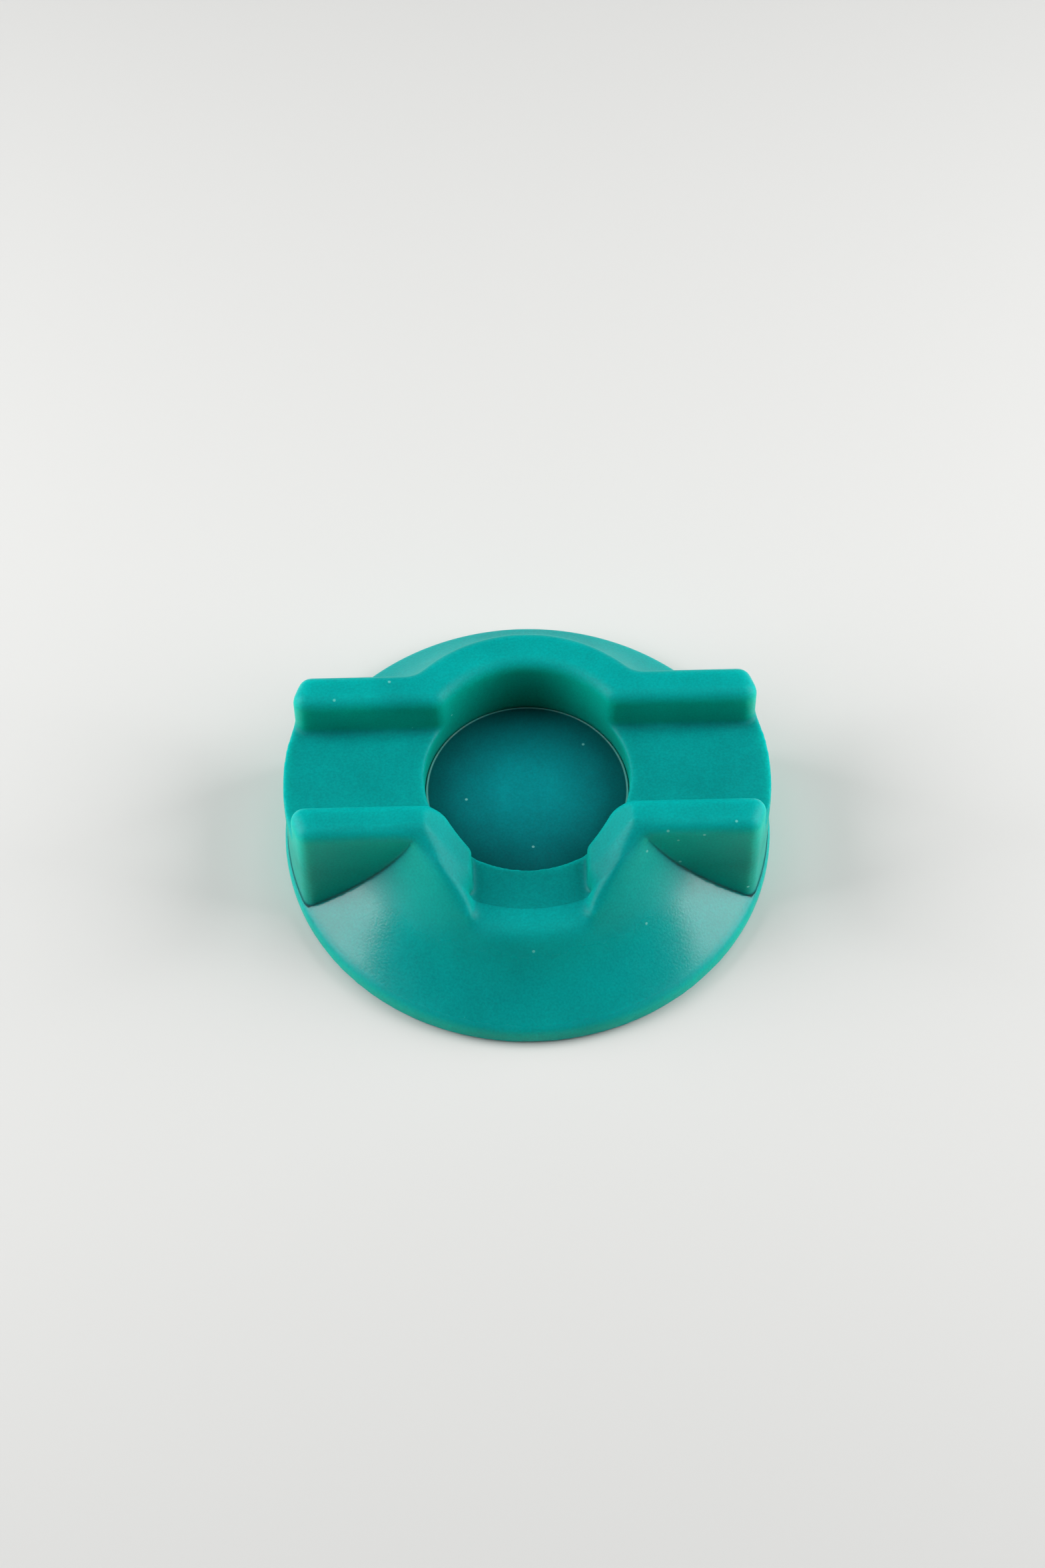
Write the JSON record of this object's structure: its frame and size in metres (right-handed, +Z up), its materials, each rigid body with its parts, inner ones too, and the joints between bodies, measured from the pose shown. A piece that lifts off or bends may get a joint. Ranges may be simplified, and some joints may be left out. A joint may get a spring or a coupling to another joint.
{
  "type": "air diffuser",
  "caption": "Round flared diffuser: a channelled head with a round pocket and front notch sits in a flared skirt; air spreads sideways and forwards; the pocket disc lifts out.",
  "frame": {"origin": "centre of the face that the flared skirt rests on", "axes": "+Z up through the round pocket, X along the open channel, -Y out of the front notch"},
  "size_m": [0.04, 0.04, 0.0122],
  "materials": {
    "skirt": "satin, fine moulded grain, slightly translucent teal",
    "head": "satin, waxy, slightly translucent teal",
    "disc": "satin, thinner and bluer teal"
  },
  "bodies": {
    "diffuser": {"flared_skirt": "skirt", "channel_head": "head"},
    "disc": {"pocket_disc": "disc"}
  },
  "joints": [
    {"name": "disc_lift", "type": "slide", "parent": "diffuser", "child": "disc", "axis": [0, 0, 1], "range_m": [0, 0.008]}
  ]
}
